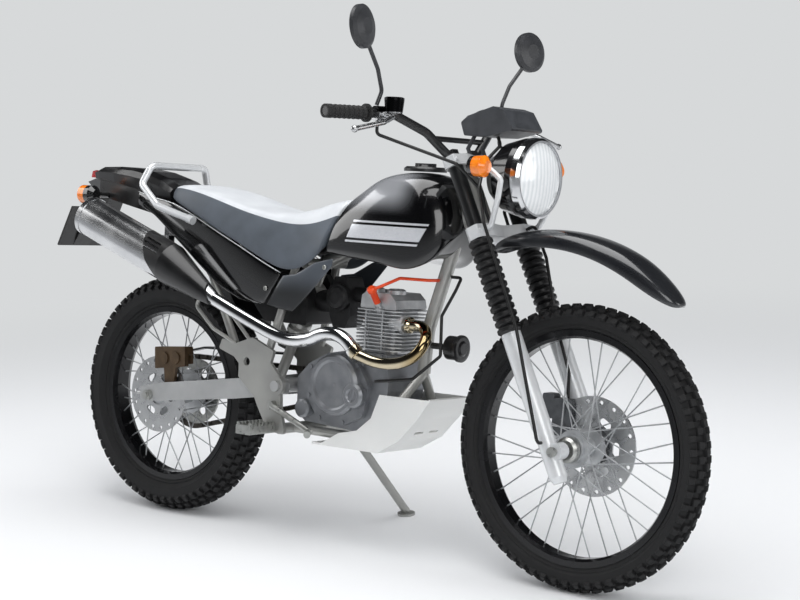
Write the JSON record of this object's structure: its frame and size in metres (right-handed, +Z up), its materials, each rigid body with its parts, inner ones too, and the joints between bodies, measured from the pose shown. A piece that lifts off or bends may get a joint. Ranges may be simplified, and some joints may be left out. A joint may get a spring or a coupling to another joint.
{
  "type": "dual sport motorcycle",
  "caption": "Air-cooled single-cylinder dual sport motorcycle on its side stand, with spoked wheels, knobbly tyres, high silencer, steering fork and folding stand.",
  "frame": {"origin": "middle of the bounding box, on the floor", "axes": "+X forwards, +Y to the rider's left, +Z up; parked, leaning to +Y on its side stand"},
  "size_m": [2.1174, 0.8482, 1.3876],
  "materials": {
    "frame_paint": "satin silver-grey paint",
    "cast_silver": "cast aluminium, satin",
    "fin_silver": "cast aluminium fins",
    "black_plastic": "moulded black plastic",
    "gloss_black": "gloss black plastic",
    "header_steel": "heat tinted steel tube",
    "silencer_steel": "brushed stainless steel",
    "shield_black": "satin black heatproof paint",
    "tank_paint": "dark metallic lacquer",
    "seat_cover": "padded vinyl, silver top and grey-blue sides",
    "rail_silver": "silver enamel",
    "arm_silver": "satin aluminium",
    "steel": "plated steel",
    "chrome": "bright chrome",
    "black_paint": "gloss black enamel",
    "grey_paint": "dark metallic grey",
    "rubber_black": "moulded rubber",
    "tyre_black": "knobbly tyre rubber",
    "lens_glass": "fluted headlamp glass",
    "lens_red": "red lamp lens",
    "seat_side": "blue-grey moulded plastic",
    "orange_rubber": "orange rubber cap and lead",
    "lens_amber": "amber lens in a black shell",
    "chain_steel": "oiled steel links",
    "brown_metal": "bronze anodised caliper"
  },
  "bodies": {
    "chassis": {"main_frame": "frame_paint", "crankcase": "cast_silver", "cylinder": "fin_silver", "carburettor": "black_plastic", "exhaust_pipe": "header_steel", "silencer": "silencer_steel", "heat_shield": "shield_black", "fuel_tank": "tank_paint", "tank_cap": "black_plastic", "seat": "seat_cover", "side_covers": "gloss_black", "side_cover_fronts": "seat_side", "rear_fender": "black_plastic", "tail_cowl": "black_plastic", "tail_lamp": "lens_red", "plate_holder": "black_plastic", "rear_indicators": "lens_amber", "grab_rail": "rail_silver", "swingarm": "arm_silver", "rear_axle": "steel", "rear_shock": "steel", "rear_caliper": "brown_metal", "chain": "chain_steel", "chain_guard": "black_plastic", "footpegs": "steel", "foot_levers": "steel", "skid_plate": "arm_silver", "horn": "black_paint", "engine_cable": "rubber_black", "plug_lead": "orange_rubber"},
    "fork": {"fork_crowns": "arm_silver", "fork_legs": "arm_silver", "fork_boots": "rubber_black", "front_axle": "steel", "front_fender": "grey_paint", "headlight_shell": "gloss_black", "headlight_ring": "chrome", "headlight_lens": "lens_glass", "lamp_stays": "arm_silver", "front_indicators": "lens_amber", "handlebar": "black_paint", "grips": "rubber_black", "hand_levers": "arm_silver", "mirrors": "black_paint", "instruments": "black_plastic", "front_caliper": "brown_metal", "control_cables": "rubber_black", "brake_hose": "rubber_black"},
    "front_wheel": {"front_tyre": "tyre_black", "front_rim": "black_paint", "front_hub": "arm_silver", "front_disc": "steel"},
    "rear_wheel": {"rear_tyre": "tyre_black", "rear_rim": "black_paint", "rear_hub": "arm_silver", "rear_disc": "steel", "rear_sprocket": "steel"},
    "side_stand": {"side_stand": "frame_paint"}
  },
  "joints": [
    {"name": "steering", "type": "hinge", "parent": "chassis", "child": "fork", "pos_m": [0.66202, -0.10439, 0.31077], "axis": [-0.4384, 0.1251, 0.89], "range_deg": [-40, 40]},
    {"name": "front_wheel_spin", "type": "hinge", "parent": "fork", "child": "front_wheel", "pos_m": [0.71775, -0.10061, 0.33768], "axis": [0, 0.9903, -0.1392], "continuous": true},
    {"name": "rear_wheel_spin", "type": "hinge", "parent": "chassis", "child": "rear_wheel", "pos_m": [-0.62725, -0.10269, 0.32283], "axis": [0, 0.9903, -0.1392], "continuous": true},
    {"name": "side_stand_fold", "type": "hinge", "parent": "chassis", "child": "side_stand", "pos_m": [-0.05975, -0.00153, 0.23792], "axis": [0.0383, 0.8481, 0.5285], "range_deg": [0, 96.9]}
  ]
}
